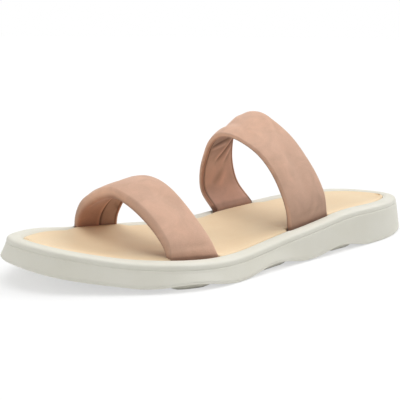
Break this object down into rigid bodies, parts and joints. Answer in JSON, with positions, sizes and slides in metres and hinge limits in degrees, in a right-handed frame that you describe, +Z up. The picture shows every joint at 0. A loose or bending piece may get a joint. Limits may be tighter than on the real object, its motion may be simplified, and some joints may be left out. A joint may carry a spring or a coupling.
{
  "type": "flat sandal",
  "caption": "Left slip-on flat sandal: padded leather bands over toes and instep, tan insole, moulded pale rubber cup sole.",
  "frame": {"origin": "middle of the footprint, on the floor", "axes": "+X to the toe, +Y to the wearer's left, which is the outer side of this left shoe, +Z up"},
  "size_m": [0.2684, 0.1028, 0.0786],
  "materials": {
    "sole_rubber": "satin moulded rubber, ivory white",
    "insole_leather": "smooth semi-matt tan leather",
    "band_nubuck": "matt brushed nubuck, blush"
  },
  "bodies": {
    "root": {"sole_unit": "sole_rubber", "insole": "insole_leather", "strap_front": "band_nubuck", "strap_rear": "band_nubuck"}
  },
  "joints": []
}
